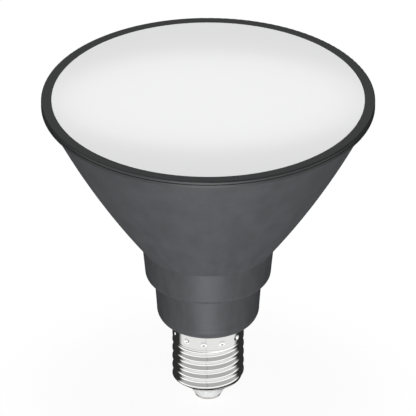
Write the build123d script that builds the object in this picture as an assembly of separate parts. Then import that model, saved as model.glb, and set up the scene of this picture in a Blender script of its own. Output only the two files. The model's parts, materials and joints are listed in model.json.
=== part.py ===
from build123d import *
import math
import os

os.makedirs("parts", exist_ok=True)

# LED reflector bulb in millimetres, +Z up, standing cap down.
# The origin is the lowest point of the centre contact, on the bulb's axis.

# Gaps between pieces
slide_gap = 0.15      # pieces pushed into one another
seat_gap = 0.05       # faces that rest on one another
overlap = 1.0         # how far a cutting or joining solid runs past a face

# Centre contact: a plate with a rivet through the insulator
contact_r = 4.8
contact_t = 1.2
contact_edge_r = 0.5
rivet_r = 1.5
rivet_top = 1.0       # how far the rivet stands above the insulator

# Insulator below the screw shell
nose_foot_r = 5.2
nose_h = 3.8
insulator_h = 3.4     # part inside the shell

# Screw shell: sheet metal with a rolled thread
shell_wall = 0.35
shell_foot_r = 7.9
shell_foot_h = 3.2
thread_pitch = 3.629
thread_crest_r = 13.08
thread_root_r = 12.13
thread_h = 16.3       # from the drawn-in foot to the runout
thread_turns = 4
runout_h = 1.2        # taper from the thread to the plain band
band_r = 13.05
band_h = 7.0
dent_count = 12
dent_r = 1.3
dent_depth = 0.45
dent_drop = 1.9       # from the top of the shell to the dents

# Driver housing: neck, lower collar and spigot in one moulding
neck_wall = 1.6
neck_h = 19.0
housing_wall = 2.0
housing_foot_r = 13.4
housing_bulge_r = 18.65
housing_round_h = 6.0
housing_round_angle = 40.0  # degrees, where the rounding's middle lies on its quarter turn
housing_top_r = 19.6
housing_h = 18.5
spigot_r = 13.8
spigot_wall = 1.5
spigot_h = 5.5
boss_r = 2.1
boss_h = 8.0
rail_w = 2.2
rail_t = 1.4

# Lamp body: upper collar and cone in one moulding
body_wall = 2.0
collar_foot_r = 22.7
collar_top_r = 24.0
collar_h = 13.2
collar_edge_r = 2.4
cone_top_r = 58.9
cone_h = 57.7
cone_bulge = 1.75
rim_h = 1.3           # upright edge inside the front ring
rim_wall = 0.9
ledge_drop = 0.2      # lens ledge below the foot of the upright edge
rib_count = 6
rib_t = 1.6
rib_depth = 5.0

# Front ring and lens
ring_wall = 1.45      # outside the body's rim
ring_h = 2.6
ring_face = 3.75
lip_t = 1.2
ring_edge_r = 0.4
groove_w = 0.3
groove_depth = 0.4
lens_t = 1.8

# Heat sink, light board and reflector
sink_drop = 7.8       # from the collar's top up to the heat sink's underside
sink_t = 1.5
sink_h = 30.0
sink_bend_r = 3.0
sink_collar_h = 1.5
board_r = 23.5
board_t = 1.6
lead_hole_r = 2.2
lead_hole_x = -3.4
led_w = 2.8
led_l = 3.5
led_t = 0.8
led_counts = (8, 16)  # in each ring, from the middle out
led_ring_radii = (7.5, 17.6)
reflector_t = 1.0
reflector_foot_r = 21.6
reflector_bulge = 1.6
reflector_flange_t = 0.5

# Screws
screw_count = 3
screw_r = 1.45
screw_head_r = 2.4
screw_head_h = 1.7
board_screw_l = 4.6
board_screw_pcd_r = 12.5
housing_screw_l = 8.0
housing_screw_pcd_r = 16.6
housing_screw_turn = 90.0  # degrees from +X to the first
pilot_r = 1.45
screw_hole_r = 1.65

# Driver board and what stands on it
pcb_t = 1.6
pcb_foot_w = 17.6
pcb_w = 23.4
pcb_foot_gap = 4.5    # from the neck's open end to the board's lower edge
pcb_h = 49.0
lead_r = 0.5
wire_r = 0.3
fuse_r = 1.8
fuse_l = 7.0
fuse_x = -2.8
fuse_rise = 3.0       # each rise is counted from the board's lower edge
film_w = 10.0
film_d = 5.4
film_h = 8.0
film_rise = 13.5
input_cap_r = 5.0
input_cap_l = 16.0
input_cap_rise = 23.0
varistor_r = 3.5
varistor_t = 3.0
varistor_x = 2.9
varistor_rise = 2.5
bridge_w = 6.4
bridge_d = 2.5
bridge_h = 4.8
bridge_rise = 11.5
choke_r = 4.0
choke_l = 9.5
choke_flange_t = 1.2
choke_core_r = 2.4
choke_rise = 20.5
chip_w = 5.0
chip_d = 1.5
chip_h = 4.0
chip_rise = 33.0
output_cap_r = 4.0
output_cap_l = 11.0
output_cap_x = 4.6
output_cap_rise = 39.5
can_groove = 0.4
core_w = 13.0
core_d = 5.0
core_h = 11.0
core_leg = 3.0
core_side = 1.6
core_yoke = 1.8
core_rise = 40.5
winding_t = 3.1
winding_edge_r = 1.5
connector_l = 4.6
connector_w = 3.8
connector_h = 2.3
connector_x = -0.8
port_rise = 1.2
lead_pitch = 1.8      # between the two leads to the light board

# Leads: where each leaves the driver board, and the bends of its insulated wire
lead_out = 2.2        # how far a lead stands out from the board before it turns
lead_bend_r = 0.9
lead_turn_r = 2.0
lead_sweep_r = 3.0
port_bend_r = 1.6
live_x = -2.0
live_rise = 5.0
live_stub = 3.0       # straight run up from the rivet
neutral_x = 3.0
neutral_rise = 4.0
neutral_drop = 1.6    # below the neck's open end
neutral_run = 4.0     # straight run to the shell's wall
neutral_angle = 50.0  # degrees round from +X
led_lead_shift = 0.8
led_lead_side = 1.6
led_lead_drop = 5.0   # below the board's top edge
led_lead_rise = 4.6
led_lead_stagger = 0.5

# Heights of the main faces, worked up from the contact
nose_z = contact_t
shell_z = nose_z + nose_h
thread_z = shell_z + shell_foot_h
band_z = thread_z + thread_h
cap_top_z = band_z + band_h
bulge_z = cap_top_z + housing_round_h
body_z = cap_top_z + housing_h
floor_z = body_z + body_wall
seam_z = body_z + collar_h
ring_z = seam_z + cone_h
top_z = ring_z + ring_h
rim_z = ring_z + rim_h
ledge_z = ring_z - ledge_drop
sink_z = seam_z + sink_drop
board_z = sink_z + sink_t
led_z = board_z + board_t
neck_z = cap_top_z - neck_h
pcb_z = neck_z + pcb_foot_gap
pcb_top_z = pcb_z + pcb_h

# Radii that follow from the sizes above
foot_slope = (thread_root_r - shell_foot_r) / shell_foot_h
band_bore_r = band_r - shell_wall
root_bore_r = thread_root_r - shell_wall
bore_foot_z = thread_z + shell_wall * (math.hypot(1, foot_slope) - 1) / foot_slope
neck_r = root_bore_r - slide_gap
neck_band_r = band_bore_r - slide_gap
spigot_bore_r = spigot_r - spigot_wall
rim_bore_r = cone_top_r - rim_wall
ring_r = cone_top_r + slide_gap + ring_wall
lens_r = ring_r - ring_face - seat_gap
lens_flange_r = rim_bore_r - slide_gap

# The cone's skin is a circular arc about a centre far inside the bulb
cone_chord = math.hypot(cone_top_r - collar_top_r, cone_h)
cone_arc_r = cone_chord ** 2 / (8 * cone_bulge) + cone_bulge / 2
cone_reach = (cone_arc_r - cone_bulge) / cone_chord
cone_centre_r = (cone_top_r + collar_top_r) / 2 - cone_reach * cone_h
cone_centre_z = (seam_z + ring_z) / 2 + cone_reach * (cone_top_r - collar_top_r)


def cone_r(z, inset=0.0):
    """Radius at a height of the cone's skin, or of a surface set in from it."""
    return cone_centre_r + math.sqrt((cone_arc_r - inset) ** 2 - (z - cone_centre_z) ** 2)


def collar_r(z, inset=0.0):
    """Radius at a height of the upper collar's wall, or of a surface set in from it."""
    return collar_foot_r + (collar_top_r - collar_foot_r) * (z - body_z) / collar_h - inset


def housing_r(z, inset=0.0):
    """Radius at a height of the lower collar's wall, or of a surface set in from it."""
    rise = (z - bulge_z) / (body_z - bulge_z)
    return housing_bulge_r + (housing_top_r - housing_bulge_r) * rise - inset


def lines(*points):
    """Straight edges through points given as radius and height."""
    return Polyline(*[(r, 0, z) for r, z in points])


def curve(*points):
    """Circular arc through three points given as radius and height."""
    return ThreePointArc(*[(r, 0, z) for r, z in points])


def cone_curve(z_start, z_end, inset=0.0):
    """Arc of the cone's skin, or of a surface set in from it, between two heights."""
    heights = (z_start, (z_start + z_end) / 2, z_end)
    return curve(*[(cone_r(z, inset), z) for z in heights])


def turned(*edges):
    """Solid of revolution about the bulb's axis from edges that close a half section."""
    return revolve(make_face(Curve() + list(edges)), Axis.Z)


def rod(radius, z_low, z_high, x=0.0, y=0.0):
    """Upright cylinder between two heights."""
    return Pos(x, y, (z_low + z_high) / 2) * Cylinder(radius, z_high - z_low)


def block(x_span, y_span, z_span):
    """Box between pairs of limits along each axis."""
    spans = (x_span, y_span, z_span)
    middle = [(low + high) / 2 for low, high in spans]
    return Pos(*middle) * Box(*[high - low for low, high in spans])


def around(shape, count, start=0.0):
    """Copies of a shape turned evenly about the bulb's axis."""
    return [Rot(0, 0, start + 360 * k / count) * shape for k in range(count)]


def wire_tube(points, bends, radius):
    """Round wire along straight runs joined by arcs."""
    path = FilletPolyline(*points, radius=bends)
    section = Plane(origin=path @ 0, z_dir=path % 0) * Circle(radius)
    return sweep(section, path=path)


def centre_contact():
    """Contact plate with its rivet through the insulator."""
    plate = rod(contact_r, 0, contact_t)
    plate = fillet(plate.edges().group_by(Axis.Z)[0], contact_edge_r)
    return plate + rod(rivet_r, contact_t - seat_gap, shell_z + insulator_h + rivet_top)


def foot_r(z, inset=0.0):
    """Radius at a height of the shell's drawn-in foot, or of a surface set in from it."""
    return shell_foot_r + foot_slope * (z - shell_z) - inset * math.hypot(1, foot_slope)


def cap_insulator():
    """Insulator: a visible nose, and a flange held in the shell's foot."""
    throat_r = foot_r(shell_z, shell_wall) - seat_gap
    throat_z = shell_z + shell_wall + seat_gap
    flange_z = shell_z + insulator_h
    return turned(lines(
        (rivet_r + seat_gap, nose_z + seat_gap),
        (nose_foot_r, nose_z + seat_gap),
        (throat_r, shell_z),
        (throat_r, throat_z),
        (foot_r(throat_z, shell_wall + seat_gap), throat_z),
        (foot_r(flange_z, shell_wall + slide_gap), flange_z),
        (rivet_r + seat_gap, flange_z),
        (rivet_r + seat_gap, nose_z + seat_gap),
    ))


def arc_about(centre, radius, start, end):
    """Arc of a half section about a centre, between two angles from the outward direction."""
    angles = (start, (start + end) / 2, end)
    return curve(*[(centre[0] + radius * math.cos(a), centre[1] + radius * math.sin(a)) for a in angles])


def thread_line(inset):
    """Rolled thread's section from its lowest root up to the band: equal arcs, each tangent to the next."""
    quarter = thread_pitch / 4
    depth = (thread_crest_r - thread_root_r) / 2
    arc_r = (quarter ** 2 + depth ** 2) / (2 * depth)
    meet = math.asin(quarter / arc_r)
    edges = []
    for turn in range(thread_turns):
        z = band_z - (thread_turns - turn) * thread_pitch
        low_root = (thread_root_r + arc_r, z)
        crest = (thread_crest_r - arc_r, z + thread_pitch / 2)
        high_root = (thread_root_r + arc_r, z + thread_pitch)
        edges.append(arc_about(low_root, arc_r + inset, math.pi, math.pi - meet))
        edges.append(arc_about(crest, arc_r - inset, -meet, meet))
        edges.append(arc_about(high_root, arc_r + inset, math.pi + meet, math.pi))
    return edges


def dents(radius):
    """Spheres whose caps are the dents punched in the shell's band."""
    centre_r = band_r + dent_r - dent_depth
    ball = Pos(centre_r, 0, cap_top_z - dent_drop) * Sphere(radius)
    return around(ball, dent_count, 180 / dent_count)


def screw_shell():
    """Sheet shell with its rolled thread, punched dents and open drawn-in foot."""
    root_z = band_z - thread_turns * thread_pitch
    runout_z = band_z + runout_h
    mouth_r = foot_r(shell_z, shell_wall)
    lip_z = shell_z + shell_wall
    shell = turned(
        lines((mouth_r, shell_z), (shell_foot_r, shell_z), (thread_root_r, thread_z),
              (thread_root_r, root_z)),
        *thread_line(0),
        lines((thread_root_r, band_z), (band_r, runout_z), (band_r, cap_top_z),
              (band_bore_r, cap_top_z), (band_bore_r, runout_z), (root_bore_r, band_z)),
        *thread_line(shell_wall),
        lines((root_bore_r, root_z), (root_bore_r, bore_foot_z), (foot_r(lip_z, shell_wall), lip_z),
              (mouth_r, lip_z), (mouth_r, shell_z)))
    bumps = Part() + dents(dent_r + shell_wall)
    inside = rod(band_r - shell_wall / 2, runout_z, cap_top_z)
    return shell + (bumps & inside) - dents(dent_r)


def board_rails(z_low, z_high, outer_r, edge_x):
    """Two pairs of upright ribs that hold the driver board by its edges."""
    inner_x = edge_x - rail_w
    near_y = pcb_t / 2 + seat_gap
    rib = block((inner_x, outer_r), (near_y, near_y + rail_t), (z_low, z_high))
    pair = Part() + rib + mirror(rib, Plane.XZ)
    return pair + mirror(pair, Plane.YZ)


def driver_housing():
    """Moulding with the cap's neck, the lower collar and the spigot into the body."""
    foot_z = cap_top_z + seat_gap
    deck_z = body_z - housing_wall
    lip_z = body_z - seat_gap
    spigot_z = body_z + spigot_h
    neck_bore_r = neck_r - neck_wall
    inner_bulge_r = housing_bulge_r - housing_wall
    round_w, round_mid = housing_bulge_r - housing_foot_r, math.radians(housing_round_angle)
    skirt = curve(
        (housing_foot_r, foot_z),
        (housing_foot_r + round_w * math.cos(round_mid), bulge_z - (bulge_z - foot_z) * math.sin(round_mid)),
        (housing_bulge_r, bulge_z))
    shape = turned(
        lines((neck_bore_r, neck_z), (neck_r, neck_z), (neck_r, band_z),
              (neck_band_r, band_z + runout_h), (neck_band_r, foot_z), (housing_foot_r, foot_z)),
        skirt,
        lines((housing_bulge_r, bulge_z), (housing_top_r, lip_z), (spigot_r, lip_z),
              (spigot_r, spigot_z), (spigot_bore_r, spigot_z), (spigot_bore_r, deck_z),
              (housing_r(deck_z, housing_wall), deck_z), (inner_bulge_r, bulge_z),
              (neck_bore_r, foot_z + housing_wall / 2), (neck_bore_r, neck_z)))
    boss = rod(boss_r, deck_z - boss_h, lip_z, housing_screw_pcd_r)
    boss_room = turned(lines((0, foot_z), (housing_bulge_r - housing_wall / 2, bulge_z),
                             (housing_top_r - housing_wall / 2, lip_z), (0, lip_z), (0, foot_z)))
    shape += (Part() + around(boss, screw_count, housing_screw_turn)) & boss_room
    neck_mid_r = neck_bore_r + neck_wall / 2
    neck_rails = board_rails(pcb_z, cap_top_z, neck_mid_r, pcb_foot_w / 2)
    shape += neck_rails & rod(neck_mid_r, neck_z, cap_top_z)
    spigot_rails = board_rails(deck_z, spigot_z, spigot_r, pcb_w / 2)
    shape += spigot_rails & rod(spigot_bore_r + spigot_wall / 2, deck_z, spigot_z)
    pilot = rod(pilot_r, floor_z - housing_screw_l - overlap, body_z + overlap, housing_screw_pcd_r)
    pilots = around(pilot, screw_count, housing_screw_turn)
    return shape - pilots - dents(dent_r + shell_wall + slide_gap)


def lamp_body():
    """Moulding with the upper collar, its floor, the cone and the rim for the ring."""
    hole_r = spigot_r + slide_gap
    collar = FilletPolyline(
        (hole_r, 0, body_z), (collar_foot_r, 0, body_z), (collar_top_r, 0, seam_z),
        radius=collar_edge_r)
    shape = turned(
        collar,
        cone_curve(seam_z, ring_z),
        lines((cone_top_r, ring_z), (cone_top_r, rim_z), (rim_bore_r, rim_z),
              (rim_bore_r, ledge_z), (cone_r(ledge_z, body_wall), ledge_z)),
        cone_curve(ledge_z, seam_z + body_wall, body_wall),
        lines((cone_r(seam_z + body_wall, body_wall), seam_z + body_wall),
              (collar_r(seam_z, body_wall), seam_z),
              (collar_r(floor_z, body_wall), floor_z), (hole_r, floor_z), (hole_r, body_z)))
    rib_room = turned(
        cone_curve(seam_z + body_wall, sink_z - seat_gap, body_wall / 2),
        lines((cone_r(sink_z - seat_gap, body_wall / 2), sink_z - seat_gap), (0, sink_z - seat_gap),
              (0, floor_z), (collar_r(floor_z, body_wall / 2), floor_z),
              (collar_r(seam_z, body_wall / 2), seam_z),
              (cone_r(seam_z + body_wall, body_wall / 2), seam_z + body_wall)))
    rib_in_r = collar_r(floor_z, body_wall + rib_depth / 2)
    rib = block((rib_in_r, cone_r(sink_z)), (-rib_t / 2, rib_t / 2), (seam_z - collar_h / 3, sink_z))
    shape += (Part() + around(rib, rib_count, 180 / rib_count)) & rib_room
    hole = rod(screw_hole_r, body_z - overlap, floor_z + overlap, housing_screw_pcd_r)
    return shape - around(hole, screw_count, housing_screw_turn)


def front_ring():
    """Bezel over the body's rim, with a lip that holds the lens."""
    lip_z = top_z - lip_t
    skirt_r = cone_top_r + slide_gap
    lip_r = ring_r - ring_face
    groove_z = ring_z + ring_h / 2
    ring = turned(lines(
        (lip_r, lip_z), (skirt_r, lip_z), (skirt_r, ring_z + seat_gap), (ring_r, ring_z + seat_gap),
        (ring_r, groove_z - groove_w / 2), (ring_r - groove_depth, groove_z - groove_w / 2),
        (ring_r - groove_depth, groove_z + groove_w / 2), (ring_r, groove_z + groove_w / 2),
        (ring_r, top_z), (lip_r, top_z), (lip_r, lip_z)))
    return fillet(ring.edges().group_by(Axis.Z)[-1].sort_by(SortBy.RADIUS)[-1], ring_edge_r)


def front_lens():
    """Flat opal disc, stepped at its edge to pass under the ring's lip."""
    lip_z = top_z - lip_t - seat_gap
    flange_z = ledge_z + reflector_flange_t + 2 * seat_gap
    inner_r = lens_r - rim_wall - lens_t / 2
    return turned(lines(
        (0, top_z - lens_t), (inner_r, top_z - lens_t), (inner_r, flange_z), (lens_flange_r, flange_z),
        (lens_flange_r, lip_z), (lens_r, lip_z), (lens_r, top_z), (0, top_z), (0, top_z - lens_t)))


def sheet_corner(face, r, z):
    """Vertex of a half section nearest to a radius and a height."""
    return face.vertices().sort_by_distance((r, 0, z))[0]


def heat_sink():
    """Pressed cup: a platform for the light board, and a wall that lines the cone."""
    outer = body_wall + slide_gap
    inner = outer + sink_t
    brim_z = sink_z + sink_h
    section = make_face(Curve() + [
        cone_curve(sink_z, brim_z, outer),
        lines((cone_r(brim_z, outer), brim_z), (cone_r(brim_z, inner), brim_z)),
        cone_curve(board_z, brim_z, inner),
        lines((cone_r(board_z, inner), board_z), (0, board_z), (0, sink_z), (cone_r(sink_z, outer), sink_z))])
    section = fillet(sheet_corner(section, cone_r(sink_z, outer), sink_z), sink_bend_r)
    section = fillet(sheet_corner(section, cone_r(board_z, inner), board_z), sink_bend_r - sink_t)
    cup = revolve(section, Axis.Z)
    collar = rod(screw_r + seat_gap + sink_t, sink_z - sink_collar_h, sink_z + sink_t / 2, board_screw_pcd_r)
    hole = rod(screw_r + seat_gap, sink_z - sink_collar_h - overlap, board_z + overlap, board_screw_pcd_r)
    lead_hole = rod(lead_hole_r, sink_z - overlap, board_z + overlap, lead_hole_x)
    return cup + around(collar, screw_count) - around(hole, screw_count) - lead_hole


def led_board():
    """Metal-core board on the heat sink's platform."""
    low, high = board_z + seat_gap, led_z
    hole = rod(screw_hole_r, low - overlap, high + overlap, board_screw_pcd_r)
    lead_hole = rod(lead_hole_r, low - overlap, high + overlap, lead_hole_x)
    return rod(board_r, low, high) - around(hole, screw_count) - lead_hole


def led_packages():
    """Light sources in rings round the board."""
    packages = []
    for count, ring_radius in zip(led_counts, led_ring_radii):
        package = block((ring_radius - led_l / 2, ring_radius + led_l / 2), (-led_w / 2, led_w / 2),
                        (led_z, led_z + led_t))
        packages += around(package, count, 180 / count)
    return Compound([package.solid() for package in packages])


def screw(length):
    """Pan-head screw with its head's seat at the origin."""
    head = rod(screw_head_r, 0, screw_head_h)
    head = fillet(head.edges().group_by(Axis.Z)[-1], screw_head_h / 2)
    slot = block((-screw_head_r / 2, screw_head_r / 2), (-screw_head_r / 8, screw_head_r / 8),
                 (screw_head_h / 2, screw_head_h + overlap))
    return head + rod(screw_r, -length, seat_gap) - slot - Rot(0, 0, 90) * slot


def board_screws():
    """Screws through the light board into the heat sink."""
    one = Pos(board_screw_pcd_r, 0, led_z + seat_gap) * screw(board_screw_l)
    return Compound([s.solid() for s in around(one, screw_count)])


def housing_screws():
    """Screws through the body's floor into the driver housing."""
    one = Pos(housing_screw_pcd_r, 0, floor_z + seat_gap) * screw(housing_screw_l)
    return Compound([s.solid() for s in around(one, screw_count, housing_screw_turn)])


def inner_reflector():
    """White cone that carries the light from the board to the lens."""
    foot_z = led_z + seat_gap
    flange_z = ledge_z + seat_gap
    brim_z = flange_z + reflector_flange_t
    top_r = cone_r(ledge_z, body_wall) - slide_gap
    foot_out_r = reflector_foot_r + reflector_t
    run_r, run_z = top_r - foot_out_r, flange_z - foot_z
    length = math.hypot(run_r, run_z)
    out_r, out_z = reflector_bulge * run_z / length, -reflector_bulge * run_r / length
    mid_r, mid_z = (foot_out_r + top_r) / 2 + out_r, (foot_z + flange_z) / 2 + out_z
    return turned(
        curve((foot_out_r, foot_z), (mid_r, mid_z), (top_r, flange_z)),
        lines((top_r, flange_z), (lens_flange_r, flange_z), (lens_flange_r, brim_z),
              (top_r - reflector_t, brim_z)),
        curve((top_r - reflector_t, brim_z),
              (mid_r - reflector_t * run_z / length, mid_z + reflector_t * run_r / length),
              (reflector_foot_r, foot_z)),
        lines((reflector_foot_r, foot_z), (foot_out_r, foot_z)))


def lead_connector():
    """Terminal on the light board with two ports for the leads."""
    body = block((connector_x, connector_x + connector_l), (-connector_w / 2, connector_w / 2),
                 (led_z, led_z + connector_h))
    ports = [
        Pos(connector_x, y, led_z + port_rise) * Rot(0, 90, 0) * Cylinder(lead_r + seat_gap, connector_l)
        for y in (-lead_pitch / 2, lead_pitch / 2)]
    return body - ports


def driver_board():
    """Upright circuit board, narrow in the neck and wide in the collar."""
    half_t = pcb_t / 2
    foot = block((-pcb_foot_w / 2, pcb_foot_w / 2), (-half_t, half_t), (pcb_z, bulge_z))
    head = block((-pcb_w / 2, pcb_w / 2), (-half_t, half_t), (bulge_z - overlap, pcb_top_z))
    return foot + head


def beside_board(depth, side):
    """Limits in Y of a component of a given depth that stands on one side of the board."""
    near = pcb_t / 2 + seat_gap
    return (near, near + depth) if side > 0 else (-near - depth, -near)


def board_box(width, depth, height, rise, side, x=0.0):
    """Rectangular component on one side of the board."""
    low = pcb_z + rise
    return block((x - width / 2, x + width / 2), beside_board(depth, side), (low, low + height))


def board_can(radius, length, rise, side, x=0.0):
    """Capacitor can lying along one side of the board, with its rolled groove."""
    y = sum(beside_board(2 * radius, side)) / 2
    low = pcb_z + rise
    can = rod(radius, low, low + length, x, y)
    can = fillet(can.edges().filter_by(GeomType.CIRCLE), can_groove)
    groove_z = low + length - 3 * can_groove
    return can - Pos(x, y, groove_z - radius / 2) * Torus(radius + can_groove / 2, can_groove)


def film_capacitor():
    """Boxed film capacitor."""
    box = board_box(film_w, film_d, film_h, film_rise, 1)
    return fillet(box.edges().filter_by(Axis.Y), can_groove)


def bridge_rectifier():
    """Flat rectifier block."""
    box = board_box(bridge_w, bridge_d, bridge_h, bridge_rise, -1)
    return chamfer(box.faces().sort_by(Axis.Y)[0].edges(), can_groove)


def driver_chip():
    """Control chip."""
    box = board_box(chip_w, chip_d, chip_h, chip_rise, -1)
    return chamfer(box.faces().sort_by(Axis.Y)[0].edges(), can_groove)


def fuse_resistor():
    """Fusible resistor whose wires bend in to the board at both ends."""
    y = sum(beside_board(2 * fuse_r, 1)) / 2
    low = pcb_z + fuse_rise
    body = rod(fuse_r, low, low + fuse_l, fuse_x, y)
    body = fillet(body.edges().filter_by(GeomType.CIRCLE), fuse_r / 3)
    reach = fuse_r
    for end_z, away in ((low, -1), (low + fuse_l, 1)):
        points = [(fuse_x, y, end_z - away * reach / 4), (fuse_x, y, end_z + away * reach / 2),
                  (fuse_x, pcb_t / 2 + seat_gap, end_z + away * reach / 2)]
        body += wire_tube(points, [reach / 3], wire_r)
    return body


def varistor():
    """Surge arrester disc, flat against the board."""
    y = sum(beside_board(varistor_t, -1)) / 2
    disc = Pos(varistor_x, y, pcb_z + varistor_rise + varistor_r) * Rot(90, 0, 0) * Cylinder(
        varistor_r, varistor_t)
    return fillet(disc.edges().filter_by(GeomType.CIRCLE), varistor_t / 3)


def filter_choke():
    """Wound drum choke lying along the board."""
    y = sum(beside_board(2 * choke_r, -1)) / 2
    low = pcb_z + choke_rise
    drum = rod(choke_core_r + can_groove, low, low + choke_l, 0, y)
    for flange_z in (low, low + choke_l - choke_flange_t):
        drum += rod(choke_r, flange_z, flange_z + choke_flange_t, 0, y)
    return drum


def transformer_core():
    """Ferrite core with two windows and a centre leg."""
    centre_y = pcb_t / 2 + seat_gap + winding_t + core_d / 2
    y_span = (centre_y - core_d / 2, centre_y + core_d / 2)
    low = pcb_z + core_rise
    core = block((-core_w / 2, core_w / 2), y_span, (low, low + core_h))
    window = block((core_leg / 2, core_w / 2 - core_side), (y_span[0] - overlap, y_span[1] + overlap),
                   (low + core_yoke, low + core_h - core_yoke))
    return core - window - mirror(window, Plane.YZ)


def transformer_winding():
    """Taped winding round the core's centre leg."""
    centre_y = pcb_t / 2 + seat_gap + winding_t + core_d / 2
    low = pcb_z + core_rise + core_yoke + seat_gap
    height = core_h - 2 * core_yoke - 2 * seat_gap
    half_x = core_w / 2 - core_side - seat_gap
    half_y = core_d / 2 + winding_t
    coil = block((-half_x, half_x), (centre_y - half_y, centre_y + half_y), (low, low + height))
    coil = fillet(coil.edges().filter_by(Axis.Z), winding_edge_r)
    leg = block((-core_leg / 2 - seat_gap, core_leg / 2 + seat_gap),
                (centre_y - core_d / 2 - seat_gap, centre_y + core_d / 2 + seat_gap),
                (low - overlap, low + height + overlap))
    return coil - leg


def live_lead():
    """Lead from the centre contact's rivet to the board."""
    start_z = shell_z + insulator_h + rivet_top + seat_gap
    board_y = -pcb_t / 2 - seat_gap
    join_z = pcb_z + live_rise
    points = [(0, 0, start_z), (0, 0, start_z + live_stub),
              (live_x, board_y - lead_out, start_z + 2 * live_stub),
              (live_x, board_y - lead_out, join_z), (live_x, board_y, join_z)]
    return wire_tube(points, [lead_turn_r, lead_turn_r, lead_bend_r], lead_r)


def neutral_lead():
    """Lead from the board round the neck's open end to the shell's wall."""
    board_y = pcb_t / 2 + seat_gap
    out_y = board_y + lead_out
    join_z = pcb_z + neutral_rise
    end_z = neck_z - neutral_drop
    wall_r = root_bore_r - seat_gap
    turn = math.radians(neutral_angle)
    wall_end, wall_start = [(r * math.cos(turn), r * math.sin(turn), end_z)
                            for r in (wall_r, wall_r - neutral_run)]
    points = [(neutral_x, board_y, join_z), (neutral_x, out_y, join_z),
              (neutral_x, out_y, pcb_z - overlap), wall_start, wall_end]
    return wire_tube(points, [lead_bend_r, lead_turn_r, lead_turn_r], lead_r)


def led_lead(side):
    """Lead from the driver board up through the heat sink to the terminal."""
    board_y = -pcb_t / 2 - seat_gap
    out_y = board_y - lead_out
    start_x = lead_hole_x + led_lead_shift + side * led_lead_side
    start_z = pcb_top_z - led_lead_drop + side * led_lead_stagger
    hole_y = side * lead_pitch / 2
    hole_z = sink_z - overlap + side * led_lead_stagger
    port_z = led_z + port_rise
    points = [(start_x, board_y, start_z), (start_x, out_y, start_z),
              (start_x, out_y, start_z + led_lead_rise), (lead_hole_x, hole_y, hole_z),
              (lead_hole_x, hole_y, port_z), (connector_x + connector_l / 3, hole_y, port_z)]
    return wire_tube(points, [lead_bend_r, lead_sweep_r, lead_sweep_r, port_bend_r], lead_r)


nodes = {
    "centre_contact": centre_contact(),
    "cap_insulator": cap_insulator(),
    "screw_shell": screw_shell(),
    "driver_housing": driver_housing(),
    "lamp_body": lamp_body(),
    "front_ring": front_ring(),
    "front_lens": front_lens(),
    "heat_sink": heat_sink(),
    "led_board": led_board(),
    "led_packages": led_packages(),
    "board_screws": board_screws(),
    "housing_screws": housing_screws(),
    "inner_reflector": inner_reflector(),
    "lead_connector": lead_connector(),
    "driver_board": driver_board(),
    "fuse_resistor": fuse_resistor(),
    "varistor": varistor(),
    "film_capacitor": film_capacitor(),
    "filter_choke": filter_choke(),
    "bridge_rectifier": bridge_rectifier(),
    "input_capacitor": board_can(input_cap_r, input_cap_l, input_cap_rise, 1),
    "driver_chip": driver_chip(),
    "transformer_core": transformer_core(),
    "transformer_winding": transformer_winding(),
    "output_capacitor": board_can(output_cap_r, output_cap_l, output_cap_rise, -1, output_cap_x),
    "live_lead": live_lead(),
    "neutral_lead": neutral_lead(),
    "led_lead_positive": led_lead(1),
    "led_lead_negative": led_lead(-1),
}

for name, shape in nodes.items():
    export_step(shape, f"parts/{name}.step")
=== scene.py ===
"""Looks of the LED reflector bulb: its finishes, its rolled cap and the studio around it."""

import enum
import json
import logging
import math
from dataclasses import dataclass, field
from typing import Any, Dict, List, Optional, Sequence, Tuple, Union

import bpy
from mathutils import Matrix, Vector


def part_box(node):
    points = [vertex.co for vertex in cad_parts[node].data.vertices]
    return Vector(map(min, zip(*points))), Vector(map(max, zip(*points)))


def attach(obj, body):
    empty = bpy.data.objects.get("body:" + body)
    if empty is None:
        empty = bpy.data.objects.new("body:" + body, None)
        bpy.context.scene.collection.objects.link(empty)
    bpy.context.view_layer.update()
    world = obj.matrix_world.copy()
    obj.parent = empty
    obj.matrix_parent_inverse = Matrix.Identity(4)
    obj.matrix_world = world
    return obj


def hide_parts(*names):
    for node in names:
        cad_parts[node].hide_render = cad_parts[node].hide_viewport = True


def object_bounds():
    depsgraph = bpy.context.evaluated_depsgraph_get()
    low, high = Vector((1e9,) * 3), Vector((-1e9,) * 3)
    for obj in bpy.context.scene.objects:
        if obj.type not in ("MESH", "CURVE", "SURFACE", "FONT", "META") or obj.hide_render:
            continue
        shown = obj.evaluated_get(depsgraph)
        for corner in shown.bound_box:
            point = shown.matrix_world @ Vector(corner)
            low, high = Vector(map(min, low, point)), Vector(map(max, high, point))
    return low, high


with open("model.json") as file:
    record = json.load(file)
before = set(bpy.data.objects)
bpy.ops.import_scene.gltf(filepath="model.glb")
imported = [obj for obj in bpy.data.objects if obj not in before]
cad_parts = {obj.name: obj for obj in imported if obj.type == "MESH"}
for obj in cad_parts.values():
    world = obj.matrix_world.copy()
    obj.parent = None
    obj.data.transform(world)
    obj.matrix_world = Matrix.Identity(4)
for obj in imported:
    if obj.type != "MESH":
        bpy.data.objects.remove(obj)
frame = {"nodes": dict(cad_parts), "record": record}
cad_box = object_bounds()

log = logging.getLogger("bulb")
logging.basicConfig(level=logging.INFO, format="%(name)s: %(message)s")

MM = 0.001
TURN = 2 * math.pi
PHOTO_SIDE = 416
ROOT = "root"

Triple = Tuple[float, float, float]
Span = Tuple[float, float]
Value = Union["Field", bpy.types.NodeSocket, float, int, bool, Sequence[float], bpy.types.ID]

EVEN: Triple = (1.0, 1.0, 1.0)
WHITE: Triple = (1.0, 1.0, 1.0)

# The colour sockets of a Mix node. Those of its other data types have the same names.
MIX_LOW, MIX_HIGH, MIX_RESULT = 6, 7, 2


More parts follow.
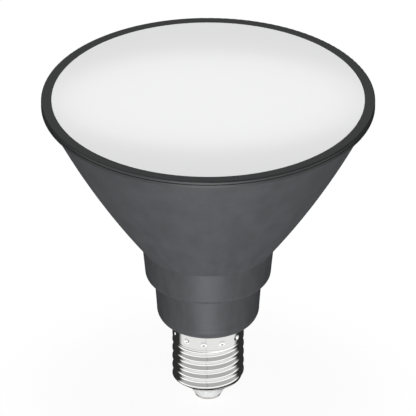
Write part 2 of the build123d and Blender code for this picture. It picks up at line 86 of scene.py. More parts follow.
class Field:
    """A number on a node's output, with operators that add Math nodes."""

    def __init__(self, sketch: "Sketch", socket: bpy.types.NodeSocket) -> None:
        """Wraps one output socket of a sketch's tree."""
        self.sketch = sketch
        self.socket = socket

    def __add__(self, other: Value) -> "Field":
        """self + other."""
        return self.sketch.math("ADD", self, other)

    def __radd__(self, other: Value) -> "Field":
        """other + self."""
        return self.sketch.math("ADD", other, self)

    def __sub__(self, other: Value) -> "Field":
        """self - other."""
        return self.sketch.math("SUBTRACT", self, other)

    def __rsub__(self, other: Value) -> "Field":
        """other - self."""
        return self.sketch.math("SUBTRACT", other, self)

    def __mul__(self, other: Value) -> "Field":
        """self * other."""
        return self.sketch.math("MULTIPLY", self, other)

    def __rmul__(self, other: Value) -> "Field":
        """other * self."""
        return self.sketch.math("MULTIPLY", other, self)

    def __truediv__(self, other: Value) -> "Field":
        """self / other."""
        return self.sketch.math("DIVIDE", self, other)

    def __rtruediv__(self, other: Value) -> "Field":
        """other / self."""
        return self.sketch.math("DIVIDE", other, self)

    def __neg__(self) -> "Field":
        """Minus self."""
        return self.sketch.math("MULTIPLY", self, -1.0)

    def cos(self) -> "Field":
        """Cosine of an angle in radians."""
        return self.sketch.math("COSINE", self)

    def sin(self) -> "Field":
        """Sine of an angle in radians."""
        return self.sketch.math("SINE", self)

    def sqrt(self) -> "Field":
        """Square root."""
        return self.sketch.math("SQRT", self)

    def unsigned(self) -> "Field":
        """The value without its sign."""
        return self.sketch.math("ABSOLUTE", self)

    def fract(self) -> "Field":
        """What is left above the whole number."""
        return self.sketch.math("FRACT", self)

    def least(self, other: Value, blend: float = 0.0) -> "Field":
        """The lower of two values, rounded over a distance where they cross."""
        return self.sketch.math("SMOOTH_MIN", self, other, blend) if blend else (
            self.sketch.math("MINIMUM", self, other))

    def most(self, other: Value, blend: float = 0.0) -> "Field":
        """The higher of two values, rounded over a distance where they cross."""
        return self.sketch.math("SMOOTH_MAX", self, other, blend) if blend else (
            self.sketch.math("MAXIMUM", self, other))

    def ramp(self, low: float, high: float) -> "Field":
        """A smooth rise from 0 to 1 as this value goes from low to high.

        Args:
            low: The value where the rise starts.
            high: The value where it ends.

        Returns:
            0 below low and 1 above high.
        """
        made = self.sketch.node("ShaderNodeMapRange", {"interpolation_type": "SMOOTHSTEP"},
                                {"Value": self, "From Min": low, "From Max": high})
        return Field(self.sketch, made.outputs["Result"])


class Sketch:
    """A node tree being drawn. Every node in it comes from its node method."""

    def __init__(self, tree: bpy.types.NodeTree) -> None:
        """Starts on a tree, which may hold nodes already."""
        self.tree = tree

    def node(self, kind: str, settings: Optional[Dict[str, Any]] = None,
             inputs: Optional[Dict[Union[str, int], Value]] = None) -> bpy.types.Node:
        """Adds a node.

        Args:
            kind: The node's Blender type.
            settings: Properties, which are set before the inputs.
            inputs: Values or links of its sockets, by name or number.

        Returns:
            The new node.
        """
        made = self.tree.nodes.new(kind)
        for key, value in (settings or {}).items():
            setattr(made, key, value)
        for key, value in (inputs or {}).items():
            socket = made.inputs[key]
            source = value.socket if isinstance(value, Field) else value
            if isinstance(source, bpy.types.NodeSocket):
                self.tree.links.new(source, socket)
            else:
                socket.default_value = source
        return made

    def math(self, operation: str, *values: Value) -> Field:
        """Adds a Math node on up to three values and returns its result."""
        made = self.node("ShaderNodeMath", {"operation": operation}, dict(enumerate(values)))
        return Field(self, made.outputs[0])

    def parts(self, vector: Value) -> Tuple[Field, Field, Field]:
        """The three numbers of a vector."""
        made = self.node("ShaderNodeSeparateXYZ", {}, {0: vector})
        return tuple(Field(self, made.outputs[i]) for i in range(3))

    def join(self, x: Value, y: Value, z: Value) -> bpy.types.NodeSocket:
        """A vector of three numbers."""
        return self.node("ShaderNodeCombineXYZ", {}, {0: x, 1: y, 2: z}).outputs[0]

    def place(self) -> bpy.types.NodeSocket:
        """The point's place in the bulb's own frame, in metres."""
        return self.node("ShaderNodeTexCoord").outputs["Object"]

    def drawn_in(self, radius: float) -> bpy.types.NodeSocket:
        """The point's place, drawn in to a cylinder at the same height and side.

        Args:
            radius: Radius of the cylinder, in metres.

        Returns:
            A place in metres, in which noise runs up a cone's side.
        """
        x, y, z = self.parts(self.place())
        reach = (x * x + y * y).sqrt().most(MM)
        return self.join(x / reach * radius, y / reach * radius, z)

    def noise(self, size: float, stretch: Triple = EVEN, detail: float = 2.0,
              place: Optional[bpy.types.NodeSocket] = None) -> Field:
        """Noise in the bulb's frame.

        Args:
            size: Width of one blotch, in metres.
            stretch: How much finer it is along each axis.
            detail: Octaves of finer noise.
            place: The place to take it at, if not the point's own.

        Returns:
            A value about 0.5.
        """
        mapped = self.node("ShaderNodeMapping", {}, {
            "Vector": place or self.place(), "Scale": stretch})
        made = self.node("ShaderNodeTexNoise", {}, {
            "Vector": mapped.outputs[0], "Scale": 1.0 / size, "Detail": detail})
        return Field(self, made.outputs[0])

    def tint(self, amount: Value, low: Triple, high: Triple) -> bpy.types.NodeSocket:
        """A colour between two, by an amount from 0 to 1."""
        inputs = {0: amount, MIX_LOW: (*low, 1.0), MIX_HIGH: (*high, 1.0)}
        return self.node("ShaderNodeMix", {"data_type": "RGBA"}, inputs).outputs[MIX_RESULT]

    def bump(self, height: Value, depth: float) -> bpy.types.NodeSocket:
        """A normal that follows a height from 0 to 1, of a depth in metres."""
        inputs = {"Height": height, "Distance": depth, "Strength": 1.0}
        return self.node("ShaderNodeBump", {}, inputs).outputs[0]


def shade(colour: Triple, by: float) -> Triple:
    """A colour made lighter or darker by a factor, up to white."""
    return tuple(min(1.0, c * by) for c in colour)


class Grain(enum.Enum):
    """Which way the lines in a worked metal run, as how much finer they are along each axis."""

    TURNED = (0.02, 0.02, 1.0)
    CAST = EVEN


@dataclass(frozen=True)
class Finish:
    """A finish with its shader's even values. Its kinds add what varies over the surface."""

    slot: str
    colour: Triple
    roughness: float = 0.5
    metallic: float = 0.0
    specular: float = 0.5

    def material(self) -> bpy.types.Material:
        """Builds the finish.

        Returns:
            A material named after its slot.
        """
        made = bpy.data.materials.new(self.slot)
        made.use_nodes = True
        made.node_tree.nodes.clear()
        sketch = Sketch(made.node_tree)
        even = {"Base Color": (*self.colour, 1.0), "Roughness": self.roughness,
                "Metallic": self.metallic, "Specular IOR Level": self.specular}
        shader = sketch.node("ShaderNodeBsdfPrincipled", {}, {**even, **self.varied(sketch)})
        sketch.node("ShaderNodeOutputMaterial", {}, {"Surface": shader.outputs[0]})
        return made

    def varied(self, sketch: Sketch) -> Dict[str, Value]:
        """Draws what varies over the surface.

        Args:
            sketch: The material's node tree.

        Returns:
            Links by the name of the shader's socket that each one feeds.
        """
        raise NotImplementedError

    def tone(self, sketch: Sketch, amount: Value, shades: Span) -> bpy.types.NodeSocket:
        """The finish's colour, swung between two factors by an amount from 0 to 1."""
        return sketch.tint(amount, *(shade(self.colour, by) for by in shades))

    def gloss(self, amount: Field, swing: float) -> Field:
        """The finish's roughness, swung about its even value by an amount from 0 to 1."""
        return amount * swing + (self.roughness - swing / 2)


@dataclass(frozen=True)
class MouldedPlastic(Finish):
    """Moulded plastic with a fine spark-eroded grain and a faint cloudiness."""

    grain: float = 0.35 * MM
    depth: float = 0.012 * MM
    cloud: float = 0.05
    cloud_size: float = 14 * MM
    cloud_share: float = 0.6
    gloss_swing: float = 0.12

    def cloudiness(self, sketch: Sketch) -> Field:
        """Soft blotches, as wide one way as the other."""
        return sketch.noise(self.cloud_size, detail=3.0)

    def varied(self, sketch: Sketch) -> Dict[str, Value]:
        """Cloudy colour, speckled grain and uneven gloss.

        Args:
            sketch: The material's node tree.

        Returns:
            Links by the name of the shader's socket that each one feeds.
        """
        cloud = self.cloudiness(sketch)
        speck = sketch.noise(self.grain, detail=3.0)
        light = cloud * self.cloud_share + speck * (1.0 - self.cloud_share)
        return {
            "Base Color": self.tone(sketch, light, (1 - 2 * self.cloud, 1 + 2 * self.cloud)),
            "Roughness": self.gloss(speck, self.gloss_swing),
            "Normal": sketch.bump(speck, self.depth),
        }


@dataclass(frozen=True)
class FlowedPlastic(MouldedPlastic):
    """Moulded plastic whose cloudiness runs up and down, the way that it flowed in the mould."""

    cloud_size: float = 5 * MM
    flow_r: float = 35 * MM
    flow: Triple = (1.0, 1.0, 0.6)

    def cloudiness(self, sketch: Sketch) -> Field:
        """Soft blotches that widen with the cone."""
        return sketch.noise(self.cloud_size, self.flow, detail=4.0,
                            place=sketch.drawn_in(self.flow_r))


@dataclass(frozen=True)
class BrightPlate(Finish):
    """Bright nickel on drawn sheet, with faint rings from the rolling."""

    ring: float = 0.3 * MM
    ring_share: float = 0.04
    wave: float = 7 * MM
    haze: float = 1.5 * MM
    shades: Span = (0.96, 1.02)
    depth: float = 0.02 * MM
    gloss_swing: float = 0.05

    def varied(self, sketch: Sketch) -> Dict[str, Value]:
        """Rolling rings, small waves in the sheet and a slightly uneven gloss.

        Args:
            sketch: The material's node tree.

        Returns:
            Links by the name of the shader's socket that each one feeds.
        """
        rings = sketch.noise(self.ring, Grain.TURNED.value)
        waves = sketch.noise(self.wave, detail=0.0)
        haze = sketch.noise(self.haze)
        relief = rings * self.ring_share + waves * (1.0 - self.ring_share)
        return {
            "Base Color": self.tone(sketch, haze, self.shades),
            "Roughness": self.gloss(haze, self.gloss_swing),
            "Normal": sketch.bump(relief, self.depth),
        }


@dataclass(frozen=True)
class OpalSheet(Finish):
    """Frosted opal plastic with a matte pearl texture."""

    pearl: float = 0.5 * MM
    depth: float = 0.01 * MM
    cloud_size: float = 30 * MM
    shades: Span = (0.992, 1.004)
    gloss_swing: float = 0.1

    def varied(self, sketch: Sketch) -> Dict[str, Value]:
        """Pearl bumps and a hardly visible cloudiness.

        Args:
            sketch: The material's node tree.

        Returns:
            Links by the name of the shader's socket that each one feeds.
        """
        pearl = sketch.noise(self.pearl)
        cloud = sketch.noise(self.cloud_size, detail=1.0)
        return {
            "Base Color": self.tone(sketch, cloud, self.shades),
            "Roughness": self.gloss(pearl, self.gloss_swing),
            "Normal": sketch.bump(pearl, self.depth),
        }


@dataclass(frozen=True)
class WorkedMetal(Finish):
    """Bare or plated metal with working marks."""

    grain: Grain = Grain.CAST
    line: float = 0.25 * MM
    depth: float = 0.015 * MM
    stain: float = 9 * MM
    shades: Span = (0.86, 1.05)
    gloss_swing: float = 0.2

    def varied(self, sketch: Sketch) -> Dict[str, Value]:
        """Lines along the way that the metal was worked, over a soft staining.

        Args:
            sketch: The material's node tree.

        Returns:
            Links by the name of the shader's socket that each one feeds.
        """
        lines = sketch.noise(self.line, self.grain.value, detail=4.0)
        stain = sketch.noise(self.stain, detail=3.0)
        return {
            "Base Color": self.tone(sketch, stain, self.shades),
            "Roughness": self.gloss(lines, self.gloss_swing),
            "Normal": sketch.bump(lines, self.depth),
        }


@dataclass(frozen=True)
class BoardMask(Finish):
    """Solder mask over copper tracks that show as a slightly other shade."""

    track: float = 2.2 * MM
    upright: bool = False
    jog: float = 0.35 * MM
    jog_run: float = 2 * MM
    track_edge: Span = (0.13, 0.16)
    weave: float = 0.6 * MM
    copper_share: float = 0.8
    shades: Span = (0.82, 1.12)
    depth: float = 0.03 * MM
    gloss_swing: float = 0.1

    def varied(self, sketch: Sketch) -> Dict[str, Value]:
        """Tracks in rings on the light board, and as upright lanes on the driver board.

        Args:
            sketch: The material's node tree.

        Returns:
            Links by the name of the shader's socket that each one feeds.
        """
        x, y, z = sketch.parts(sketch.place())
        lane = x + self.jog * (z / self.jog_run).sin() if self.upright else (x * x + y * y).sqrt()
        across = (lane / self.track).fract() - 0.5
        copper = 1.0 - (across * across).ramp(*self.track_edge)
        weave = sketch.noise(self.weave)
        light = copper * self.copper_share + weave * (1.0 - self.copper_share)
        return {
            "Base Color": self.tone(sketch, light, self.shades),
            "Roughness": self.gloss(weave, self.gloss_swing),
            "Normal": sketch.bump(copper, self.depth),
        }


@dataclass(frozen=True)
class Sleeve(Finish):
    """Shrink sleeve on a can: a plain pale stripe down one side."""

    stripe: Triple = (0.6, 0.6, 0.62)
    stripe_edge: Span = (8.6 * MM, 8.8 * MM)
    wrinkle: float = 1.2 * MM
    wrinkle_run: Triple = (1.0, 1.0, 0.3)
    depth: float = 0.03 * MM

    def varied(self, sketch: Sketch) -> Dict[str, Value]:
        """Stripe on the side that faces away from the board.

        Args:
            sketch: The material's node tree.

        Returns:
            Links by the name of the shader's socket that each one feeds.
        """
        _, y, _ = sketch.parts(sketch.place())
        wrinkle = sketch.noise(self.wrinkle, self.wrinkle_run, detail=3.0)
        return {
            "Base Color": sketch.tint(y.ramp(*self.stripe_edge), self.colour, self.stripe),
            "Normal": sketch.bump(wrinkle, self.depth),
        }


@dataclass(frozen=True)
class Wound(Finish):
    """Wire or tape wound about an upright core: fine level lines."""

    turn: float = 0.5 * MM
    depth: float = 0.08 * MM
    drift: float = 2 * MM
    shades: Span = (0.85, 1.1)
    gloss_swing: float = 0.1

    def varied(self, sketch: Sketch) -> Dict[str, Value]:
        """One ridge for each turn, with a slight drift of shade.

        Args:
            sketch: The material's node tree.

        Returns:
            Links by the name of the shader's socket that each one feeds.
        """
        _, _, z = sketch.parts(sketch.place())
        ridge = (z * (TURN / self.turn)).sin() * 0.5 + 0.5
        drift = sketch.noise(self.drift)
        return {
            "Base Color": self.tone(sketch, drift, self.shades),
            "Roughness": self.gloss(drift, self.gloss_swing),
            "Normal": sketch.bump(ridge, self.depth),
        }


FINISHES: Tuple[Finish, ...] = (
    FlowedPlastic("housing_plastic", (0.0643, 0.0652, 0.0688), 0.54, specular=0.31, cloud=0.27),
    MouldedPlastic("ring_plastic", (0.026, 0.0271, 0.0278), 0.5, grain=0.3 * MM, cloud=0.03),
    OpalSheet("opal_lens", (0.89, 0.89, 0.895), 0.5, specular=0.35),
    BrightPlate("cap_metal", (0.9, 0.9, 0.89), 0.085, 1.0),
    MouldedPlastic("cap_insulator", (0.8, 0.795, 0.77), 0.4, grain=0.8 * MM, depth=0.002 * MM,
                   cloud=0.005),
    WorkedMetal("contact_metal", (0.72, 0.7, 0.64), 0.3, 1.0),
    WorkedMetal("sink_metal", (0.8, 0.81, 0.82), 0.35, 1.0, grain=Grain.TURNED),
    BoardMask("board_white", (0.86, 0.86, 0.84), 0.35),
    MouldedPlastic("led_yellow", (0.88, 0.72, 0.2), 0.3, grain=0.15 * MM, cloud=0.04),
    WorkedMetal("screw_steel", (0.72, 0.72, 0.73), 0.3, 1.0, grain=Grain.TURNED, line=0.12 * MM),
    MouldedPlastic("reflector_white", (0.9, 0.9, 0.89), 0.4, grain=0.5 * MM, cloud=0.01),
    MouldedPlastic("terminal_white", (0.82, 0.82, 0.79), 0.35, grain=0.3 * MM, cloud=0.02),
    BoardMask("board_green", (0.05, 0.22, 0.09), 0.3, track=1.6 * MM, upright=True),
    MouldedPlastic("fuse_body", (0.2, 0.38, 0.3), 0.25, grain=0.5 * MM),
    MouldedPlastic("varistor_blue", (0.03, 0.09, 0.42), 0.22, grain=0.9 * MM, depth=0.03 * MM),
    MouldedPlastic("film_yellow", (0.8, 0.58, 0.06), 0.4, grain=0.25 * MM),
    Wound("choke_dark", (0.045, 0.042, 0.042), 0.4),
    MouldedPlastic("chip_black", (0.022, 0.022, 0.023), 0.5, grain=0.12 * MM),
    Sleeve("can_sleeve", (0.02, 0.026, 0.06), 0.25),
    MouldedPlastic("ferrite", (0.05, 0.05, 0.052), 0.55, grain=0.2 * MM, depth=0.02 * MM),
    Wound("winding_tape", (0.82, 0.6, 0.06), 0.25, turn=2.2 * MM, depth=0.03 * MM),
    MouldedPlastic("lead_red", (0.5, 0.02, 0.02), 0.35, grain=0.2 * MM),
    MouldedPlastic("lead_black", (0.02, 0.02, 0.021), 0.35, grain=0.2 * MM),
)


class Wardrobe:
    """The materials by slot, made once each."""

    def __init__(self, finishes: Sequence[Finish]) -> None:
        """Builds every finish.

        Args:
            finishes: One finish for each material slot of the solids.
        """
        self.materials = {finish.slot: finish.material() for finish in finishes}
        subparts = frame["record"]["subparts"]
        self.slot_of = {part["node"]: part["material_slot"] for part in subparts}

    def dress_node(self, node: str) -> None:
        """Gives a CAD node the material of its slot in place of any that it has.

        Args:
            node: The node's name.
        """
        slot = self.slot_of[node]
        materials = frame["nodes"][node].data.materials
        materials.clear()
        materials.append(self.materials[slot])
        log.info("%s: finish %s", node, slot)


class Formula:
    """A Geometry Nodes tree with named inputs, and the object that it makes."""

    def __init__(self, name: str) -> None:
        """Starts an empty tree.

        Args:
            name: Name of the tree and of the object.
        """
        self.name = name
        self.tree = bpy.data.node_groups.new(name, "GeometryNodeTree")
        self.tree.interface.new_socket("Geometry", in_out="OUTPUT",
                                       socket_type="NodeSocketGeometry")
        self.sketch = Sketch(self.tree)
        self.values: Dict[str, Value] = {}
        self.sources = self.sketch.node("NodeGroupInput")

    def entry(self, name: str, kind: str, value: Value) -> bpy.types.NodeSocket:
        """Adds a named input.

        Args:
            name: The input's name.
            kind: The last word of its socket's Blender type.
            value: What it is set to.

        Returns:
            The socket that gives the value inside the tree.
        """
        self.tree.interface.new_socket(name, in_out="INPUT", socket_type="NodeSocket" + kind)
        self.values[name] = value
        return self.sources.outputs[name]

    def size(self, name: str, value: float) -> Field:
        """Adds a named number input and returns it as a field."""
        return Field(self.sketch, self.entry(name, "Float", float(value)))

    def count(self, name: str, value: int) -> Field:
        """Adds a named whole-number input and returns it as a field."""
        return Field(self.sketch, self.entry(name, "Int", int(value)))

    def make(self, geometry: bpy.types.NodeSocket,
             material: bpy.types.Material) -> bpy.types.Object:
        """Ends the tree, evaluates it and turns the result into a plain mesh.

        Args:
            geometry: The socket that holds the finished geometry.
            material: The material of the whole result.

        Returns:
            A linked object at the origin with no modifier.
        """
        real = self.sketch.node("GeometryNodeRealizeInstances", {}, {"Geometry": geometry})
        dressed = self.sketch.node("GeometryNodeSetMaterial", {}, {
            "Geometry": real.outputs[0], "Material": self.entry("Material", "Material", material)})
        self.sketch.node("NodeGroupOutput", {}, {0: dressed.outputs[0]})
        made = bpy.data.objects.new(self.name, bpy.data.meshes.new(self.name + "_seed"))
        bpy.context.scene.collection.objects.link(made)
        modifier = made.modifiers.new("formula", "NODES")
        modifier.node_group = self.tree
        for item in self.tree.interface.items_tree:
            if item.in_out == "INPUT":
                modifier[item.identifier] = self.values[item.name]
        flatten(made)
        made.data.materials.clear()
        made.data.materials.append(material)
        made.data.polygons.foreach_set("material_index", [0] * len(made.data.polygons))
        return made


def flatten(piece: bpy.types.Object) -> None:
    """Applies a piece's modifiers and leaves it a plain mesh.

    Args:
        piece: A linked object.
    """
    bpy.context.view_layer.update()
    evaluated = piece.evaluated_get(bpy.context.evaluated_depsgraph_get())
    mesh = bpy.data.meshes.new_from_object(evaluated)
    piece.modifiers.clear()
    piece.data = mesh


@dataclass
class Assembly:
    """Pieces that belong together, dressed in the finishes of their slots."""

    wardrobe: Wardrobe
    nodes: Tuple[str, ...] = ()

    def build(self) -> None:
        """Dresses each piece."""
        for node in self.nodes:
            self.wardrobe.dress_node(node)


@dataclass
class ScrewCap(Assembly):
    """The cap: rolled screw shell, insulator and centre contact."""

    nodes: Tuple[str, ...] = ("cap_insulator", "centre_contact")
    pitch: float = 3.629 * MM
    crest_r: float = 13.08 * MM
    root_r: float = 12.13 * MM
    band_r: float = 13.05 * MM
    foot_r: float = 7.9 * MM
    foot_h: float = 3.2 * MM
    thread_h: float = 16.3 * MM
    runout_h: float = 1.2 * MM
    wall: float = 0.35 * MM
    phase: float = math.radians(20.0)
    dents: int = 12
    dent_r: float = 1.3 * MM
    dent_depth: float = 0.45 * MM
    # Lower than on the solid and turned from there, so that the collar leaves them in sight.
    dent_drop: float = 3.5 * MM
    dent_turn: float = math.radians(8.0)
    rounding: float = 0.25 * MM
    columns: int = 212
    rows: int = 180
    weld: float = 0.001 * MM

    def rolled_radius(self, rolled: Formula, angle: Field, z: Field, foot_z: float,
                      band_r: Field) -> Field:
        """Draws the shell's radius before the dents are punched.

        The thread is an off-centre circle that turns once in each pitch. It ends in the drawn-in
        foot below and runs out into the plain band above.

        Args:
            rolled: The shell's tree.
            angle: Direction round the cap, in radians.
            z: Height, in metres.
            foot_z: Height of the shell's lower edge.
            band_r: Radius of the plain band.

        Returns:
            The radius in metres.
        """
        band_z = foot_z + self.foot_h + self.thread_h
        crest = rolled.size("Crest radius", self.crest_r)
        root = rolled.size("Root radius", self.root_r)
        offset, mean = (crest - root) * 0.5, (crest + root) * 0.5
        start = angle - rolled.size("Phase", self.phase)
        turn = start - z * TURN / rolled.size("Pitch", self.pitch)
        swing = offset * turn.sin()
        thread = offset * turn.cos() + (mean * mean - swing * swing).sqrt()
        slope = (self.root_r - self.foot_r) / self.foot_h
        foot = rolled.size("Foot radius", self.foot_r) + (z - foot_z) * slope
        band = root + (z - band_z) * ((self.band_r - self.root_r) / self.runout_h)
        radius = thread.least(foot, self.rounding).most(
            band.least(band_r, self.rounding), self.rounding)
        above = (z - band_z).ramp(0.0, self.runout_h)
        return radius * (1.0 - above) + above * band_r

    def dent(self, rolled: Formula, angle: Field, z: Field, top_z: float,
             band_r: Field) -> Field:
        """Draws how far the ring of round dents is punched in.

        Args:
            rolled: The shell's tree.
            angle: Direction round the cap, in radians.
            z: Height, in metres.
            top_z: Height of the shell's upper edge.
            band_r: Radius of the plain band, where the dents are.

        Returns:
            A depth in metres, 0 between the dents.
        """
        count = rolled.size("Dent count", self.dents)
        start = rolled.size("Dent turn", self.dent_turn)
        sector = ((angle - start) * count / TURN).fract() - 0.5
        aside = sector * band_r * TURN / count
        drop = z - rolled.size("Dent level", top_z - self.dent_drop)
        dent_r = rolled.size("Dent radius", self.dent_r)
        bowl = (dent_r * dent_r - aside * aside - drop * drop).most(0.0).sqrt()
        return (bowl - (self.dent_r - self.dent_depth)).most(0.0)

    def shell(self) -> bpy.types.Object:
        """Rolls the shell by its formula and gives the sheet its thickness.

        Returns:
            The shell, which takes the place of the CAD node.
        """
        low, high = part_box("screw_shell")
        rolled = Formula("rolled_screw_shell")
        sketch = rolled.sketch
        grid = sketch.node("GeometryNodeMeshGrid", {}, {
            "Size X": rolled.size("Turn", TURN), "Size Y": rolled.size("Height", high.z - low.z),
            "Vertices X": rolled.count("Columns", self.columns),
            "Vertices Y": rolled.count("Rows", self.rows)})
        angle, level, _ = sketch.parts(sketch.node("GeometryNodeInputPosition").outputs[0])
        z = level + rolled.size("Middle", (high.z + low.z) / 2)
        band_r = rolled.size("Band radius", self.band_r)
        radius = (self.rolled_radius(rolled, angle, z, low.z, band_r)
                  - self.dent(rolled, angle, z, high.z, band_r))
        moved = sketch.node("GeometryNodeSetPosition", {}, {
            "Geometry": grid.outputs["Mesh"],
            "Position": sketch.join(radius * angle.cos(), radius * angle.sin(), z)})
        welded = sketch.node("GeometryNodeMergeByDistance", {}, {
            "Geometry": moved.outputs[0], "Distance": self.weld})
        smooth = sketch.node("GeometryNodeSetShadeSmooth", {}, {"Geometry": welded.outputs[0]})
        made = rolled.make(smooth.outputs[0], self.wardrobe.materials["cap_metal"])
        sheet = made.modifiers.new("sheet", "SOLIDIFY")
        sheet.thickness, sheet.offset, sheet.use_even_offset = self.wall, -1.0, True
        flatten(made)
        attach(made, ROOT)
        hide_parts("screw_shell")
        log.info("%s: %d faces", made.name, len(made.data.polygons))
        return made

    def build(self) -> None:
        """Makes the shell and dresses the pieces below it."""
        self.shell()
        super().build()


@dataclass
class Housing(Assembly):
    """The dark mouldings: lamp body, driver housing and front ring, with the opal lens."""

    nodes: Tuple[str, ...] = ("lamp_body", "driver_housing", "housing_screws", "front_ring",
                              "front_lens")


@dataclass
class LightEngine(Assembly):
    """What makes and shapes the light: heat sink, light board and reflector."""

    nodes: Tuple[str, ...] = ("heat_sink", "led_board", "led_packages", "board_screws",
                              "lead_connector", "inner_reflector")


@dataclass
class Driver(Assembly):
    """The driver board, what stands on it and its leads."""

    nodes: Tuple[str, ...] = (
        "driver_board", "fuse_resistor", "varistor", "film_capacitor", "filter_choke",
        "bridge_rectifier", "input_capacitor", "driver_chip", "transformer_core",
        "transformer_winding", "output_capacitor", "live_lead", "neutral_lead",
        "led_lead_positive", "led_lead_negative")


class LampShape(enum.Enum):
    """Outline of a lamp."""

    RECTANGLE = "RECTANGLE"
    ELLIPSE = "ELLIPSE"


@dataclass
class Softbox:
    """An area lamp aimed at a point.

    One that names nodes lights those alone and shows in their gloss. The others show in none.
    """

    name: str
    place: Triple
    target: Triple
    width: float
    height: float
    watts: float
    shape: LampShape = LampShape.RECTANGLE
    tint: Triple = WHITE
    only: Tuple[str, ...] = ()

    def build(self) -> None:
        """Hangs the lamp out of the camera's sight."""
        lamp = bpy.data.lights.new(self.name, "AREA")
        lamp.shape, lamp.color = self.shape.value, self.tint
        lamp.size, lamp.size_y, lamp.energy = self.width, self.height, self.watts
        made = bpy.data.objects.new(self.name, lamp)
        made.location = self.place
        toward = Vector(self.target) - made.location
        made.rotation_euler = toward.to_track_quat("-Z", "Y").to_euler()
        made.visible_camera = False
        made.visible_glossy = bool(self.only)
        bpy.context.scene.collection.objects.link(made)
        if self.only:
            lit = bpy.data.collections.new(self.name + "_lit")
            for node in self.only:
                lit.objects.link(frame["nodes"][node])
            made.light_linking.receiver_collection = lit


@dataclass(frozen=True)
class MirroredRoom:
    """What bright metal mirrors: a pale front with a dark stripe, dark sides and a card behind.

    Places are on the unit sphere about the bulb, and tones are shares of white. Each band gives
    the height where the pale tone starts to change, the height where it ends, and the change.
    """

    front_side: Span = (-0.35, 0.0)
    lowest_tone: float = 0.685
    bands: Tuple[Triple, ...] = ((-0.75, -0.55, 0.18), (-0.4, -0.25, 0.48), (0.0, 0.3, -0.88))
    stripe_place: float = -0.12
    stripe_half: float = 0.05
    stripe_edge: float = 0.03
    stripe_tone: float = 0.11
    dark_tone: float = 0.03
    card_side: Span = (0.94, 0.99)
    card_height: Span = (0.1, 0.35)
    card_tone: float = 0.64

    def tone(self, sketch: Sketch) -> Field:
        """Draws the room.

        Args:
            sketch: The world's node tree.

        Returns:
            The tone that is seen in a direction.
        """
        x, y, z = sketch.parts(sketch.node("ShaderNodeTexCoord").outputs["Generated"])
        level = (x * x + y * y).sqrt().most(MM)
        ahead, aside = -(y / level), x / level
        front = ahead.ramp(*self.front_side)
        within = self.stripe_half - (aside - self.stripe_place).unsigned()
        pale = self.lowest_tone - within.ramp(0.0, self.stripe_edge) * front * self.stripe_tone
        for low, high, change in self.bands:
            pale = pale + z.ramp(low, high) * change
        card = (-ahead).ramp(*self.card_side) * z.ramp(*self.card_height) * self.card_tone
        return (front * pale).most(self.dark_tone).most(card)


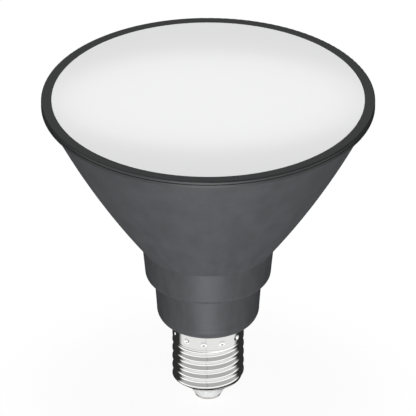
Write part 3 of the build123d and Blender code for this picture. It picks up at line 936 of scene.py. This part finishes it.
@dataclass
class Studio:
    """Floor, lamps, surroundings and camera.

    The rim's row and column are where the photo shows the middle of the rim.
    """

    elevation: float = math.radians(29.9)
    distance: float = 5.5
    pixels_per_metre: float = 2764.0
    rim_row: float = 99.0
    rim_column: float = 208.1
    floor_half: float = 4.0
    floor_colour: Triple = (0.55, 0.55, 0.55)
    floor_glow: float = 1.165
    floor_glow_share: float = 0.8
    ambient: float = 0.22
    room: MirroredRoom = MirroredRoom()
    lamps: List[Softbox] = field(default_factory=lambda: [
        Softbox("front_box", (-0.03, -0.9, -0.75), (0.0, 0.0, 0.06), 0.6, 0.4, 12.7,
                tint=(0.96, 0.97, 1.02),
                only=("lamp_body", "driver_housing", "front_ring", "cap_insulator")),
        Softbox("back_box", (0.0, 1.3, 0.1), (0.0, 0.0, 0.06), 0.9, 0.4, 9.0),
        Softbox("top_box", (0.0, 0.0, 1.2), (0.0, 0.0, 0.12), 0.5, 0.5, 7.4),
        # Close above the lens, for the soft oval on it.
        Softbox("lens_glow", (0.0, -0.001, 0.132), (0.0, -0.001, 0.12), 0.112, 0.071, 0.004,
                LampShape.ELLIPSE),
    ])

    def camera(self) -> None:
        """Sets a long lens at the photo's height, framed by the rim's centre in the photo."""
        _, high = cad_box
        scale, middle = self.pixels_per_metre, PHOTO_SIDE / 2
        right = (middle - self.rim_column) / scale
        down = (middle - self.rim_row) / scale / math.cos(self.elevation)
        aim = Vector((right, 0.0, high[2] - down))
        back = Vector((0.0, -math.cos(self.elevation), math.sin(self.elevation)))
        rim_distance = self.distance - down * math.sin(self.elevation)
        lens = bpy.data.cameras.new("camera")
        lens.sensor_fit = "HORIZONTAL"
        lens.lens = lens.sensor_width * rim_distance * scale / PHOTO_SIDE
        made = bpy.data.objects.new("camera", lens)
        made.location = aim + back * self.distance
        made.rotation_euler = (-back).to_track_quat("-Z", "Y").to_euler()
        bpy.context.scene.collection.objects.link(made)
        bpy.context.scene.camera = made

    def floor(self) -> None:
        """Lays a pale floor that shows white and keeps a faint shadow."""
        half = self.floor_half
        corners = [(-half, -half, 0), (half, -half, 0), (half, half, 0), (-half, half, 0)]
        mesh = bpy.data.meshes.new("floor")
        mesh.from_pydata(corners, [], [(0, 1, 2, 3)])
        made = bpy.data.objects.new("floor", mesh)
        bpy.context.scene.collection.objects.link(made)
        material = bpy.data.materials.new("pale_floor")
        material.use_nodes = True
        material.node_tree.nodes.clear()
        sketch = Sketch(material.node_tree)
        rays = sketch.node("ShaderNodeLightPath")
        matte = sketch.node("ShaderNodeBsdfDiffuse", {}, {"Color": (*self.floor_colour, 1.0)})
        glow = sketch.node("ShaderNodeEmission", {}, {"Strength": self.floor_glow})
        seen = Field(sketch, rays.outputs["Is Camera Ray"]) * self.floor_glow_share
        mixed = sketch.node("ShaderNodeMixShader", {}, {
            0: seen, 1: matte.outputs[0], 2: glow.outputs[0]})
        sketch.node("ShaderNodeOutputMaterial", {}, {"Surface": mixed.outputs[0]})
        mesh.materials.append(material)
        made.visible_glossy = False
        # The front lamp stands below the floor.
        made.visible_shadow = False

    def world(self) -> None:
        """Surrounds the bulb: white to the camera, soft grey light, and the room in gloss."""
        world = bpy.data.worlds.new("studio")
        bpy.context.scene.world = world
        world.use_nodes = True
        world.node_tree.nodes.clear()
        sketch = Sketch(world.node_tree)
        rays = sketch.node("ShaderNodeLightPath")
        seen, gloss, clear = (Field(sketch, rays.outputs[f"Is {kind} Ray"])
                              for kind in ("Camera", "Glossy", "Transmission"))
        light = gloss * self.room.tone(sketch) + (1.0 - gloss) * self.ambient
        strength = seen.most(clear) + (1.0 - seen) * (1.0 - clear) * light
        back = sketch.node("ShaderNodeBackground", {}, {
            "Color": (*WHITE, 1.0), "Strength": strength})
        sketch.node("ShaderNodeOutputWorld", {}, {"Surface": back.outputs[0]})

    def build(self) -> None:
        """Sets up the whole studio."""
        self.camera()
        self.floor()
        self.world()
        for lamp in self.lamps:
            lamp.build()
        bpy.context.scene.view_settings.view_transform = "Standard"


def main() -> None:
    """Builds the studio, then each sub-assembly in order."""
    Studio().build()
    wardrobe = Wardrobe(FINISHES)
    for kind in (ScrewCap, Housing, LightEngine, Driver):
        kind(wardrobe).build()


if __name__ == "__main__":
    main()
